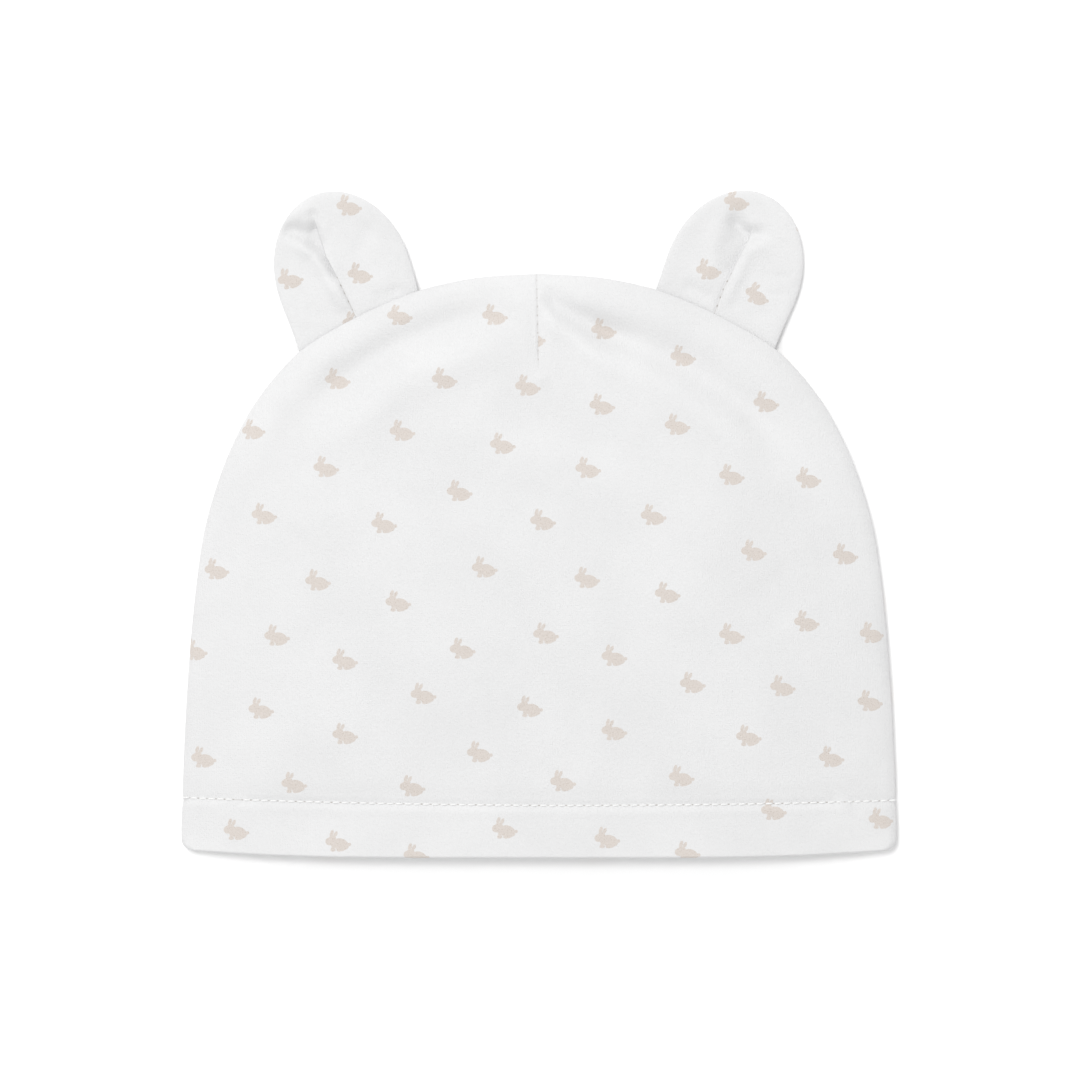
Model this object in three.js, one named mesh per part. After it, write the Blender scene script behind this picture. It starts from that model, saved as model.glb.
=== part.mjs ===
// A baby's jersey hat with two ears, lying flat on its back panel with the crown to +Y and the mouth to -Y.
// The front and back panels are sewn together round the dome, with the roots of the ears caught in that seam.
// Each panel has a turned-up hem, so its wall is double there, and the front has a short dart at its crown.
// Millimetres, +Z up. "across" is along X from the hat's middle, "up" along Y from the middle of the hem.
import * as THREE from "three";

// ---- cloth and sewing ---------------------------------------------------------------------------
const CLOTH = 1.2; // one layer of cotton interlock jersey
const GAP = 0.3; // between pieces that are sewn together
const HEM_DEPTH = 12.9; // from the hem's fold up to its stitching
const HEM_RAW_EDGE = 1.1; // how far the turned layer reaches past the stitching
const HEM_SAG = 1.5; // the middle of the hem hangs this much lower than its ends
const HEM_CORNER = 3; // radius of the hem's corners, seen from above
const HEM_PINCH = { depth: 0.35, width: 1.6 }; // the groove that the stitching draws in
const DART = { across: -0.6, length: 25.5, width: 1.5, depth: 1 };

// ---- heights above the surface that the hat lies on ---------------------------------------------
const SEAM_LEVEL = 2 * CLOTH + GAP / 2; // where the two panels meet, all round
const EDGE_ROLL = 3; // a panel rolls over to the seam within this width
const EDGE_HEIGHT = 5; // top of the front panel's roll
const FULL_WIDTH = 58; // the front panel reaches its full height this far in from the seam
const FULLNESS = 2.4; // how steeply it rises from the roll: 1 is a straight slope

// Half of the seam's line, from the top of the dart down to the hem's corner.
const SEAM_LINE = [
  { across: 0, up: 145.7 },
  { across: 16, up: 144.6 },
  { across: 31, up: 141.2 },
  { across: 46, up: 134.8 },
  { across: 59.8, up: 126.4 },
  { across: 70, up: 115 },
  { across: 76.7, up: 103 },
  { across: 81.2, up: 91 },
  { across: 84.2, up: 79 },
  { across: 86.5, up: 61 },
  { across: 88, up: 42 },
  { across: 88.9, up: 24 },
  { across: 89.5, up: 7 },
];

// How far the front panel stands above its rolled edge, along the middle of the hat.
const FRONT_RISE = [
  { up: 0, rise: 6.2 },
  { up: 14, rise: 5.9 },
  { up: 45, rise: 6.9 },
  { up: 85, rise: 7.2 },
  { up: 115, rise: 6.8 },
  { up: 146, rise: 6.4 },
];

// Soft folds beside the seam round the dome: distance in from the seam, width, height, and the stretch of the
// dome that each covers, in degrees about the middle of the panel with 90 at the dart and 0 at the right.
const SEAM_FOLDS = [
  { name: "left_ridge", inset: 6, width: 3.6, height: 0.7, from: 92, to: 178 },
  { name: "left_valley", inset: 14.5, width: 5, height: -1.1, from: 103, to: 166 },
  { name: "right_ridge", inset: 6, width: 3.6, height: 0.7, from: 2, to: 88 },
  { name: "right_valley", inset: 13.5, width: 5, height: -1.2, from: 16, to: 84 },
];
const FOLD_FADE = 14; // degrees over which a fold dies away at its ends

// Round swellings and hollows of the front panel.
const SWELLINGS = [
  { name: "dart_tip", across: 2, up: 117, wide: 11, high: 8, height: 1.3 },
  { name: "below_dart", across: 8, up: 103, wide: 16, high: 9, height: -0.5 },
  { name: "left_side", across: -52, up: 88, wide: 16, high: 22, height: 0.5 },
  { name: "right_side", across: 50, up: 62, wide: 18, high: 20, height: -0.4 },
  { name: "lower_middle", across: 4, up: 38, wide: 26, high: 14, height: -0.4 },
];

// ---- ears ---------------------------------------------------------------------------------------
// Each stands on the middle of its root, leans outwards, and has a sewn crease up its front that ends drift
// outwards of its middle.
const EARS = [
  { name: "left_ear", side: -1, across: 45.1, up: 134, lean: 18.4, drift: 3.2 },
  { name: "right_ear", side: 1, across: 44.2, up: 134.5, lean: 21, drift: -0.4 },
];
const EAR = {
  height: 33.6, // from the seam
  shoulder: 12, // height at which its round top begins
  halfWidth: 17, // at the shoulder
  rootHalfWidth: 16.5,
  rootInside: 3, // how much of the root lies inside the seam
  rootThickness: 2,
  thickness: 3.6,
  edge: 0.7, // thickness at its rim
  lift: 0.5, // the tip is this far above the surface
};
const CREASE = { length: 24, depth: 1.5, width: 1.7, fade: 9 };

// ---- mesh density -------------------------------------------------------------------------------
const PANEL_MIDDLE = { across: 0, up: 62 };
const RING_INSETS = [0, 0.35, 1.2, 3, 6, 10, 13.8, 15.4, 21];
const INNER_RINGS = [0.18, 0.4, 0.62, 0.82]; // shares of the way from the last inset to the middle
const HEM_STEPS = 12;
const CORNER_STEPS = 3;
const SEAM_STEPS = 18;
const DART_STEPS = [3.8, 1.6];
const EAR_RINGS = [0, 0.06, 0.16, 0.34, 0.56, 0.78, 0.93];
const EAR_ROOT_STEPS = 8;
const EAR_ROUND_STEPS = 16;

// ---- shared formulas ----------------------------------------------------------------------------
const { lerp, clamp, degToRad, radToDeg } = THREE.MathUtils;
const smooth = (t) => clamp(t, 0, 1) ** 2 * (3 - 2 * clamp(t, 0, 1));
const bell = (t) => Math.exp(-t * t);
const rolled = (inset, radius) => Math.sqrt(1 - (1 - clamp(inset / radius, 0, 1)) ** 2);

const seamCurve = new THREE.SplineCurve(SEAM_LINE.map((row) => new THREE.Vector2(row.across, row.up)));
const seamPoints = seamCurve.getPoints(240);
const hemUp = (across) => HEM_SAG * (across / SEAM_LINE.at(-1).across) ** 2;

// Distance of a place inside the seam's line, less than 0 outside it.
function insetAt(across, up) {
  const place = new THREE.Vector2(Math.abs(across), up);
  const middle = new THREE.Vector2(PANEL_MIDDLE.across, PANEL_MIDDLE.up);
  const nearest = seamPoints.reduce((a, b) => (place.distanceTo(b) < place.distanceTo(a) ? b : a));
  const isInside = place.distanceTo(middle) < nearest.distanceTo(middle);
  return isInside ? place.distanceTo(nearest) : -place.distanceTo(nearest);
}

function riseAt(up) {
  const next = FRONT_RISE.findIndex((row) => row.up > up);
  if (next < 1) return FRONT_RISE.at(next === 0 ? 0 : -1).rise;
  const [below, above] = [FRONT_RISE[next - 1], FRONT_RISE[next]];
  return lerp(below.rise, above.rise, smooth((up - below.up) / (above.up - below.up)));
}

// ---- outline of a panel -------------------------------------------------------------------------
// Half of it, from the middle of the hem, round the corner and up the seam. hem is 1 along the hem's fold and
// 0 along the seam.
function halfOutline() {
  const side = SEAM_LINE.at(-1).across;
  const flat = side - HEM_CORNER;
  const cornerUp = hemUp(side) + HEM_CORNER;
  const hem = Array.from({ length: HEM_STEPS + 1 }, (_, i) => {
    const across = (flat * i) / HEM_STEPS;
    return { across, up: hemUp(across), hem: 1 };
  });
  const corner = Array.from({ length: CORNER_STEPS }, (_, i) => {
    const share = (i + 1) / (CORNER_STEPS + 1);
    const turn = (Math.PI / 2) * share;
    const across = flat + HEM_CORNER * Math.sin(turn);
    return { across, up: cornerUp - HEM_CORNER * Math.cos(turn), hem: 1 - share };
  });
  const seam = Array.from({ length: SEAM_STEPS }, (_, i) => {
    const point = seamCurve.getPointAt(1 - i / SEAM_STEPS);
    return { across: point.x, up: point.y, hem: 0 };
  });
  const beside = DART_STEPS.map((across) => {
    const point = seamPoints.find((p) => p.x >= across);
    return { across: point.x, up: point.y, hem: 0 };
  });
  return [...hem, ...corner, ...seam.filter((p) => p.across > DART_STEPS[0] + 1), ...beside];
}

// The whole outline, counterclockwise from the middle of the hem, with the way outwards at each point.
function outline() {
  const half = halfOutline();
  const top = { across: 0, up: SEAM_LINE[0].up, hem: 0 };
  const mirrored = half.slice(1).reverse().map((p) => ({ ...p, across: -p.across }));
  const loop = [...half, top, ...mirrored];
  return loop.map((p, i) => {
    const before = loop.at(i - 1);
    const after = loop[(i + 1) % loop.length];
    const along = new THREE.Vector2(after.across - before.across, after.up - before.up).normalize();
    return { ...p, out: new THREE.Vector2(along.y, -along.x) };
  });
}

// Rings of places that follow the outline inwards to the panel's middle.
function panelRings() {
  const loop = outline();
  const walk = (share) => (edge) => {
    const inward = new THREE.Vector2(PANEL_MIDDLE.across - edge.across, PANEL_MIDDLE.up - edge.up);
    const reach = inward.length();
    inward.normalize();
    const slant = Math.max(0.5, -inward.dot(edge.out));
    const step = share(slant, reach);
    const across = edge.across + inward.x * step;
    return { across, up: edge.up + inward.y * step, inset: step * slant, edge };
  };
  const last = RING_INSETS.at(-1);
  const near = RING_INSETS.map((inset) => loop.map(walk((slant) => inset / slant)));
  const far = INNER_RINGS.map((part) =>
    loop.map(walk((slant, reach) => lerp(last / slant, reach, part))),
  );
  const middle = { ...PANEL_MIDDLE, inset: Infinity, edge: { ...loop[0], hem: 0 } };
  return { rings: [...near, ...far], middle };
}

// ---- closed shells ------------------------------------------------------------------------------
// Joins an outer and an inner skin along their first rings, and closes each skin at its middle point.
function shell(outer, inner, isFlipped) {
  const width = outer.rings[0].length;
  const points = [...outer.rings.flat(), outer.middle, ...inner.rings.flat(), inner.middle];
  const innerStart = outer.rings.length * width + 1;
  const faces = [];
  const addSkin = (start, ringCount, turned) => {
    const add = (a, b, c) => faces.push(turned ? [a, c, b] : [a, b, c]);
    const middle = start + ringCount * width;
    for (let ring = start; ring < middle; ring += width)
      for (let j = 0; j < width; j += 1) {
        const a = ring + j;
        const b = ring + ((j + 1) % width);
        if (ring + width === middle) {
          add(a, b, middle);
        } else {
          add(a, b, b + width);
          add(a, b + width, a + width);
        }
      }
  };
  addSkin(0, outer.rings.length, false);
  addSkin(innerStart, inner.rings.length, true);
  for (let j = 0; j < width; j += 1) {
    const next = (j + 1) % width;
    faces.push([j, innerStart + j, innerStart + next], [j, innerStart + next, next]);
  }
  const corners = faces.flatMap(([a, b, c]) => (isFlipped ? [a, c, b] : [a, b, c]));
  const geometry = new THREE.BufferGeometry();
  geometry.setAttribute(
    "position",
    new THREE.Float32BufferAttribute(corners.flatMap((i) => points[i]), 3),
  );
  geometry.computeVertexNormals();
  return geometry;
}

// ---- ears' places -------------------------------------------------------------------------------
function earFrame(ear) {
  const lean = degToRad(ear.lean);
  const root = new THREE.Vector2(ear.side * ear.across, ear.up);
  const axis = new THREE.Vector2(ear.side * Math.sin(lean), Math.cos(lean));
  const outward = new THREE.Vector2(ear.side * Math.cos(lean), -Math.sin(lean));
  const place = (o, h) => root.clone().addScaledVector(outward, o).addScaledVector(axis, h);
  return { root, place };
}

// 1 where an ear's root lies between the panels, 0 away from it.
function earRoom(across, up) {
  const here = new THREE.Vector2(across, up);
  const rooms = EARS.map((ear) => {
    const away = here.distanceTo(earFrame(ear).root) - EAR.rootHalfWidth - 2;
    return 1 - smooth(away / 7);
  });
  return Math.max(...rooms);
}

// ---- panels -------------------------------------------------------------------------------------
function frontHeight(across, up) {
  const inset = Math.max(0, insetAt(across, up));
  const rise = riseAt(up) * (1 - (1 - clamp(inset / FULL_WIDTH, 0, 1)) ** FULLNESS);
  let height = EDGE_HEIGHT + rise + 0.8 * earRoom(across, up) * bell(inset / 9);
  const angle = radToDeg(Math.atan2(up - PANEL_MIDDLE.up, across - PANEL_MIDDLE.across));
  for (const fold of SEAM_FOLDS) {
    const covered = smooth((angle - fold.from) / FOLD_FADE) * smooth((fold.to - angle) / FOLD_FADE);
    height += fold.height * covered * bell((inset - fold.inset) / fold.width);
  }
  for (const s of SWELLINGS)
    height += s.height * bell((across - s.across) / s.wide) * bell((up - s.up) / s.high);
  const alongDart = smooth((up - SEAM_LINE[0].up + DART.length) / 8);
  height -= DART.depth * alongDart * bell((across - DART.across) / DART.width);
  height -= HEM_PINCH.depth * bell((up - hemUp(across) - HEM_DEPTH) / HEM_PINCH.width);
  return height;
}

// Double up to the hem's raw edge, single above it.
function wallAt(across, up) {
  const pastEdge = up - hemUp(across) - HEM_DEPTH - HEM_RAW_EDGE;
  return CLOTH * (2 - smooth(pastEdge / CLOTH));
}

// A skin starts at the seam's level, or at the hem's fold, and rolls over to its full height.
function roll(s, seamHeight, foldHeight, fullHeight) {
  const start = lerp(seamHeight, foldHeight, s.edge.hem);
  const radius = lerp(EDGE_ROLL, CLOTH, s.edge.hem);
  return start + (fullHeight - start) * rolled(s.inset, radius);
}

// The inner skin's first rings are drawn in by one thickness, because the wall stands upright at the seam.
function skin(heightAt, drawnIn) {
  const { rings, middle } = panelRings();
  const place = (s) => {
    const pull = drawnIn * (1 - s.edge.hem) * (1 - rolled(s.inset, 2 * EDGE_ROLL));
    return [s.across - s.edge.out.x * pull, s.up - s.edge.out.y * pull, heightAt(s)];
  };
  return { rings: rings.map((ring) => ring.map(place)), middle: place(middle) };
}

const FOLD_ROUND = 0.75 * CLOTH; // height of the rounding on each side of the hem's fold
const rimSpread = (edge) => GAP / 2 + (earRoom(edge.across, edge.up) * (EAR.rootThickness + GAP)) / 2;

function frontPanel() {
  const outer = (s) => {
    const height = frontHeight(s.across, s.up);
    return roll(s, SEAM_LEVEL + rimSpread(s.edge), height - FOLD_ROUND, height);
  };
  const inner = (s) => {
    const height = frontHeight(s.across, s.up) - wallAt(s.across, s.up);
    return roll(s, SEAM_LEVEL + rimSpread(s.edge), height + FOLD_ROUND, height);
  };
  return shell(skin(outer, 0), skin(inner, CLOTH), false);
}

// The back panel's outer skin is underneath, flat on the surface but for its rolled edge.
function backPanel() {
  const outer = (s) => roll(s, SEAM_LEVEL - rimSpread(s.edge), FOLD_ROUND, 0);
  const inner = (s) => {
    const height = wallAt(s.across, s.up);
    return roll(s, SEAM_LEVEL - rimSpread(s.edge), height - FOLD_ROUND, height);
  };
  return shell(skin(outer, 0), skin(inner, CLOTH), true);
}

// ---- ears' shells -------------------------------------------------------------------------------
// An ear's outline in its own frame: outwards from its axis, and up from its root.
function earOutline(ear) {
  const { place } = earFrame(ear);
  const rootHeight = (outward) => {
    let height = -EAR.shoulder;
    const isDeep = () => {
      const p = place(outward, height);
      return insetAt(p.x, p.y) > EAR.rootInside;
    };
    while (isDeep()) height += GAP;
    return height;
  };
  const root = Array.from({ length: EAR_ROOT_STEPS + 1 }, (_, i) => {
    const outward = EAR.rootHalfWidth * ((2 * i) / EAR_ROOT_STEPS - 1);
    return [outward, rootHeight(outward)];
  });
  const round = Array.from({ length: EAR_ROUND_STEPS + 1 }, (_, i) => {
    const turn = (Math.PI * i) / EAR_ROUND_STEPS;
    return [EAR.halfWidth * Math.cos(turn), lerp(EAR.shoulder, EAR.height, Math.sin(turn))];
  });
  const side = [(EAR.rootHalfWidth + EAR.halfWidth) / 2, EAR.shoulder / 2];
  return [...root, side, ...round, [-side[0], side[1]]];
}

function earGeometry(ear) {
  const { place } = earFrame(ear);
  const loop = earOutline(ear);
  const creaseAt = (height) => ear.drift * smooth(height / CREASE.length);
  const point = (outward, height, share, face) => {
    const up = smooth(height / EAR.height);
    const level = lerp(SEAM_LEVEL, EAR.thickness / 2 + EAR.lift, up);
    const full = lerp(EAR.rootThickness, EAR.thickness, smooth((height - EAR.rootInside) / EAR.shoulder));
    const thickness = lerp(EAR.edge, full, rolled(share, 0.34));
    const along = smooth(height / 3) * smooth((CREASE.length - height) / CREASE.fade) * rolled(share, 0.3);
    const crease = CREASE.depth * along * bell((outward - creaseAt(height)) / CREASE.width);
    const { x, y } = place(outward, height);
    return [x, y, level + (face * thickness) / 2 - (face > 0 ? crease : 0)];
  };
  // Rings close in on the crease, so that the mesh runs along it.
  const face = (side) => ({
    rings: EAR_RINGS.map((share) =>
      loop.map(([outward, height]) => {
        const spine = clamp(height, 3, CREASE.length);
        return point(lerp(outward, creaseAt(spine), share), lerp(height, spine, share), share, side);
      }),
    ),
    middle: point(creaseAt(EAR.shoulder), EAR.shoulder, 1, side),
  });
  return shell(face(1), face(-1), ear.side < 0);
}

// ---- assembly -----------------------------------------------------------------------------------
function piece(name, geometry) {
  const jersey = new THREE.MeshStandardMaterial({ color: 0xf4f3f1, roughness: 0.92, metalness: 0 });
  const mesh = new THREE.Mesh(geometry, jersey);
  mesh.name = name;
  return mesh;
}

const hat = new THREE.Group();
hat.add(piece("front_panel", frontPanel()));
hat.add(piece("back_panel", backPanel()));
for (const ear of EARS) hat.add(piece(ear.name, earGeometry(ear)));

// The origin is on the surface that the hat lies on, below the middle of the whole hat.
const box = new THREE.Box3().setFromObject(hat);
const centre = box.getCenter(new THREE.Vector3());
for (const mesh of hat.children) mesh.position.set(-centre.x, -centre.y, -box.min.z);

export default hat;
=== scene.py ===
# A baby's white jersey hat with two ears and a print of small rabbits, lying flat on its back panel.
# Sizes of the cloth are in millimetres: "across" from the middle of the hat, "up" from the hem's middle.
import math

import bpy
import numpy as np
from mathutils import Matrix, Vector, noise


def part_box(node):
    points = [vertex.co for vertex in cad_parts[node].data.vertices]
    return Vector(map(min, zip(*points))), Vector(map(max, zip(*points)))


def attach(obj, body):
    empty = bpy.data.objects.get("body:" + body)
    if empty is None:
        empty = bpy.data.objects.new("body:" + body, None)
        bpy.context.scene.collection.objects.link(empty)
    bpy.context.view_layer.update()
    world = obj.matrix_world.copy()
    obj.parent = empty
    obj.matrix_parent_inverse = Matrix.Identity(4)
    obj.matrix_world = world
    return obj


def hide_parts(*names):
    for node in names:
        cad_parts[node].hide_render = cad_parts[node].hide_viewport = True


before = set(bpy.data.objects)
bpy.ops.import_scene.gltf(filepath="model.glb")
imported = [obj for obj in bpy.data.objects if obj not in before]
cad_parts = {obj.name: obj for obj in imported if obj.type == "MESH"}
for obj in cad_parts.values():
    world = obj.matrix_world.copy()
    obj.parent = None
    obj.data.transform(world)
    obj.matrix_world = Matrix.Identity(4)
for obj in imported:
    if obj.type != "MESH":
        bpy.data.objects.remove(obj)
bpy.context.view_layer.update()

# ==== Front panel =======================================================================================
# The upper half of the hat: a dome of white interlock jersey, printed with small rabbits. A sewn dart draws
# in its crown, the seam allowance inside props up its edge, and its lower edge is turned up and stitched.
MM = 0.001
HEM_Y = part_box("front_panel")[0][1]  # the hem's middle, in metres
CLOTH = 1.2  # one layer of interlock jersey
HEM_DEPTH = 13.15  # from the hem's fold to its stitching
RAW_EDGE = 1.1  # the turned layer ends this far past the stitching
HEM_CORNER = 3.0
HEM_ROLL = 0.5  # the fold is pressed tighter than the cloth is thick
SIDE_PINCH = 0.3  # the hem's stitching draws the sides in by this much
SEAM_LINE = [
    {"across": 0, "up": 145.9},
    {"across": 16, "up": 144.8},
    {"across": 31, "up": 141.3},
    {"across": 46, "up": 134.8},
    {"across": 59.8, "up": 126.4},
    {"across": 70, "up": 115},
    {"across": 76.7, "up": 103},
    {"across": 81.2, "up": 91},
    {"across": 84.2, "up": 79},
    {"across": 86.5, "up": 61},
    {"across": 88, "up": 42},
    {"across": 88.9, "up": 24},
    {"across": 89.5, "up": 7},
]
SIDE = SEAM_LINE[-1]["across"]
CROWN = SEAM_LINE[0]["up"]
SEAM_LEVEL = 2 * CLOTH + 0.15  # height at which the panels meet
SEAM_ROLL = 3.0  # the cloth rolls over to the seam within this width
ROLL_RISE = 0.9  # from the bottom of the seam's groove to the widest part of the roll
GROOVE_TURN = math.radians(60)
PANEL_MIDDLE_UP = 62.0  # the rows of places run in to this point
EDGE_HEIGHT = 5.0
FULL_WIDTH = 58.0  # the panel rises to its full height within this distance of the seam
FULLNESS = 2.4
FRONT_RISE = {"up": [0, 14, 45, 85, 115, 146], "rise": [6.2, 5.9, 6.9, 7.2, 6.8, 6.4]}
# The seam allowance inside props up the dome's edge, beside the seam and above the straight sides.
PROPPED_EDGE = {"inset": 6, "width": 4.5, "height": 0.8, "from_up": 70, "full_up": 110}
# The dart's own groove, and the wider hollow on its shoulders.
DART = {"across": -0.6, "length": 24.5, "lean": 0.02, "width": 0.3, "depth": 0.3}
DART_SHOULDER = {"width": 2.4, "depth": 0.4}
# The hem's stitches pull a groove, and the cloth swells a little below it and sinks above it.
STITCH_PULL = [
    {"name": "groove", "above": 0.0, "width": 0.9, "height": -0.42},
    {"name": "sunk_above", "above": 1.6, "width": 2.4, "height": -0.30},
    {"name": "swell_below", "above": -1.8, "width": 1.2, "height": 0.12},
]
FRONT_UNEVENNESS = [
    {"size": 24, "height": 0.45, "seed": 3.1},
    {"size": 9, "height": 0.16, "seed": 7.7},
]
EAR_ROOTS = [(-45.1, 134.0), (44.2, 134.5)]
EAR_ROOT_HALF = 16.5
EAR_ROOM = 1.05  # the panels part this much more over an ear's root
STITCH_PITCH = 2.25


def smooth(t):
    t = np.clip(t, 0.0, 1.0)
    return t * t * (3.0 - 2.0 * t)


def bell(t):
    return np.exp(-t * t)


def fold_up(across):
    """The hem's fold, which lies a little higher at its ends."""
    return 1.9 * (across / SIDE) ** 4


def stitches_up(across):
    """The line of the hem's stitches, which lies higher at its ends and most at the left."""
    return HEM_DEPTH + 1.35 * np.abs(across / SIDE) ** 1.7 - 0.35 * across / SIDE


def dart_line(up):
    return DART["across"] + DART["lean"] * (CROWN - up)


def seam_curve(steps=60):
    """Half of the seam's line as places along a smooth curve, from the dart down to the hem's corner."""
    rows = np.array([[row["across"], row["up"]] for row in SEAM_LINE], float)
    ends = np.vstack([rows[:1], rows, rows[-1:]])
    t = np.linspace(0.0, 1.0, steps, endpoint=False)[:, None]
    pieces = []
    for a, b, c, d in zip(ends, ends[1:], ends[2:], ends[3:]):
        into, away = (c - a) / 2, (d - b) / 2
        cubic = 2 * b - 2 * c + into + away
        square = 3 * c - 3 * b - 2 * into - away
        pieces.append(cubic * t**3 + square * t**2 + into * t + b)
    return np.vstack([*pieces, rows[-1:]])


SEAM = seam_curve()
SEAM_RUN = np.r_[0.0, np.cumsum(np.hypot(*np.diff(SEAM, axis=0).T))]


def panel_outline(step, dart_step):
    """The outline counterclockwise from the hem's middle: its places, and how much each is hem."""
    flat = SIDE - HEM_CORNER
    hem_across = np.linspace(0.0, flat, int(flat / step))
    hem = np.column_stack([hem_across, fold_up(hem_across)])
    turn = np.linspace(0.0, math.pi / 2, 9)[1:-1]
    corner = [flat, fold_up(flat) + HEM_CORNER] + HEM_CORNER * np.column_stack([np.sin(turn), -np.cos(turn)])
    near_dart = np.arange(0.0, 5.0, dart_step)
    runs = np.r_[near_dart, np.linspace(5.0, SEAM_RUN[-1], int(SEAM_RUN[-1] / step))][::-1]
    seam = np.column_stack([np.interp(runs, SEAM_RUN, SEAM[:, i]) for i in range(2)])
    seam[:, 0] -= SIDE_PINCH * bell((seam[:, 1] - stitches_up(SIDE)) / 1.4)
    half = np.vstack([hem, corner, seam])
    is_hem = np.r_[np.ones(len(hem)), 1 - turn / (math.pi / 2), np.zeros(len(seam))]
    return np.vstack([half, (half * [-1, 1])[-2:0:-1]]), np.r_[is_hem, is_hem[-2:0:-1]]


def rows_inside(places, insets, shares):
    """Rows at these distances inside the outline, then at these shares of the way to the middle."""
    ahead = np.roll(places, -1, axis=0) - np.roll(places, 1, axis=0)
    out = np.column_stack([ahead[:, 1], -ahead[:, 0]]) / np.hypot(*ahead.T)[:, None]
    inward = np.array([0.0, PANEL_MIDDLE_UP]) - places
    reach = np.hypot(*inward.T)
    inward = inward / reach[:, None]
    slant = np.maximum(0.5, -np.sum(inward * out, axis=1))
    slant = np.mean([np.roll(slant, k) for k in range(-6, 7)], axis=0)
    travels = [inset / slant for inset in insets]
    travels += [travels[-1] + (reach - travels[-1]) * share for share in shares]
    return np.array([places + inward * travel[:, None] for travel in travels])


def distance_to_seam(places):
    flat = places.reshape(-1, 2).copy()
    flat[:, 0] = np.abs(flat[:, 0])
    nearest = np.full(len(flat), np.inf)
    for point in SEAM[::6]:
        nearest = np.minimum(nearest, np.hypot(*(flat - point).T))
    return nearest.reshape(places.shape[:-1])


# Soft folds of the cloth, each along a short path and fading away at its ends. "side" keeps a fold to the
# right of the dart, where it starts from the sewing.
FRONT_FOLDS = [
    {
        "name": "left_valley",
        "path": [(-4, 138), (-20, 134.5), (-36, 128), (-50, 119), (-62, 105)],
        "width": 4.6,
        "height": -2.2,
    },
    {
        "name": "left_ridge",
        "path": [(2, 129), (-16, 126), (-34, 118), (-58, 98)],
        "width": 5.5,
        "height": 1.3,
    },
    {
        "name": "right_valley",
        "path": [(4, 136.5), (20, 130), (36, 122.6), (52, 112.2), (68, 94.5)],
        "width": 4.8,
        "height": -2.5,
    },
    {
        "name": "dart_valley",
        "path": [(-16, 146), (2, 139), (7, 136.4), (15, 132.2), (28, 126.4)],
        "width": 3.2,
        "height": -2.1,
        "side": 1,
    },
    {
        "name": "dart_ridge",
        "path": [(-14, 139), (2, 134), (8, 130.3), (13, 126), (22, 118.5)],
        "width": 2.8,
        "height": 1.25,
        "side": 1,
    },
    {
        "name": "right_ridge",
        "path": [(8, 127), (24, 122), (38, 114.5), (58, 95)],
        "width": 6,
        "height": 1.2,
    },
    {"name": "dart_tip", "path": [(0.4, 119.2)], "width": 1.8, "height": 0.6},
    {"name": "below_dart", "path": [(-14, 113), (2, 107), (24, 101)], "width": 7, "height": -1.1},
    {"name": "left_side", "path": [(-62, 80), (-50, 92)], "width": 12, "height": 0.5},
    {"name": "right_side", "path": [(60, 55), (50, 68)], "width": 12, "height": -0.4},
    {"name": "lower_middle", "path": [(-10, 38), (16, 34)], "width": 14, "height": -0.4},
]


def fold_height(places, folds):
    height = np.zeros(places.shape[:-1])
    for fold in folds:
        path = np.array(fold["path"], float)
        lengths = np.hypot(*np.diff(path, axis=0).T)
        nearest = np.hypot(places[..., 0] - path[0, 0], places[..., 1] - path[0, 1])
        run = np.zeros(nearest.shape)
        for start, end, length, before in zip(path, path[1:], lengths, np.r_[0, np.cumsum(lengths)]):
            share = np.clip((places - start) @ (end - start) / length**2, 0, 1)
            away = places - (start + share[..., None] * (end - start))
            distance = np.hypot(away[..., 0], away[..., 1])
            run = np.where(distance < nearest, before + share * length, run)
            nearest = np.minimum(nearest, distance)
        rise = fold["height"] * bell(nearest / fold["width"])
        if len(path) > 1:
            rise *= smooth(run / lengths.sum() / 0.3) * smooth((1 - run / lengths.sum()) / 0.3)
        if "side" in fold:
            rise *= smooth(fold["side"] * (places[..., 0] - dart_line(places[..., 1])) / 4.8)
        height += rise
    return height


def unevenness(places, size, seed):
    """Slow swells and hollows of limp cloth, from -1 to 1."""
    values = [noise.noise(Vector((x, y, seed))) for x, y in places.reshape(-1, 2) / size]
    return np.array(values).reshape(places.shape[:-1])


def puckers(beside, run):
    """Small gathers that stitches make in the cloth beside them, at this distance and count of stitches."""
    return 0.05 * np.sin(2 * math.pi * run) * np.exp(-np.abs(beside) / 1.1)


def front_height(places):
    across, up = places[..., 0], places[..., 1]
    inset = distance_to_seam(places)
    rise = np.interp(up, FRONT_RISE["up"], FRONT_RISE["rise"])
    height = EDGE_HEIGHT + rise * (1 - (1 - np.clip(inset / FULL_WIDTH, 0, 1)) ** FULLNESS)
    prop = PROPPED_EDGE
    propped = smooth((up - prop["from_up"]) / (prop["full_up"] - prop["from_up"]))
    height += prop["height"] * propped * bell((inset - prop["inset"]) / prop["width"])
    height += fold_height(places, FRONT_FOLDS) * smooth(inset / 4)
    for swell in FRONT_UNEVENNESS:
        height += swell["height"] * unevenness(places, swell["size"], swell["seed"])
    beside = across - dart_line(up)
    on_dart = smooth((up - CROWN + DART["length"]) / 5)
    height += on_dart * puckers(beside, up / 1.3)
    height -= on_dart * DART["depth"] * bell(beside / DART["width"])
    height -= on_dart * DART_SHOULDER["depth"] * bell(beside / DART_SHOULDER["width"])
    above = up - stitches_up(across)
    height += puckers(above, across / STITCH_PITCH)
    for pull in STITCH_PULL:
        height += pull["height"] * bell((above - pull["above"]) / pull["width"])
    return height


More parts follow.
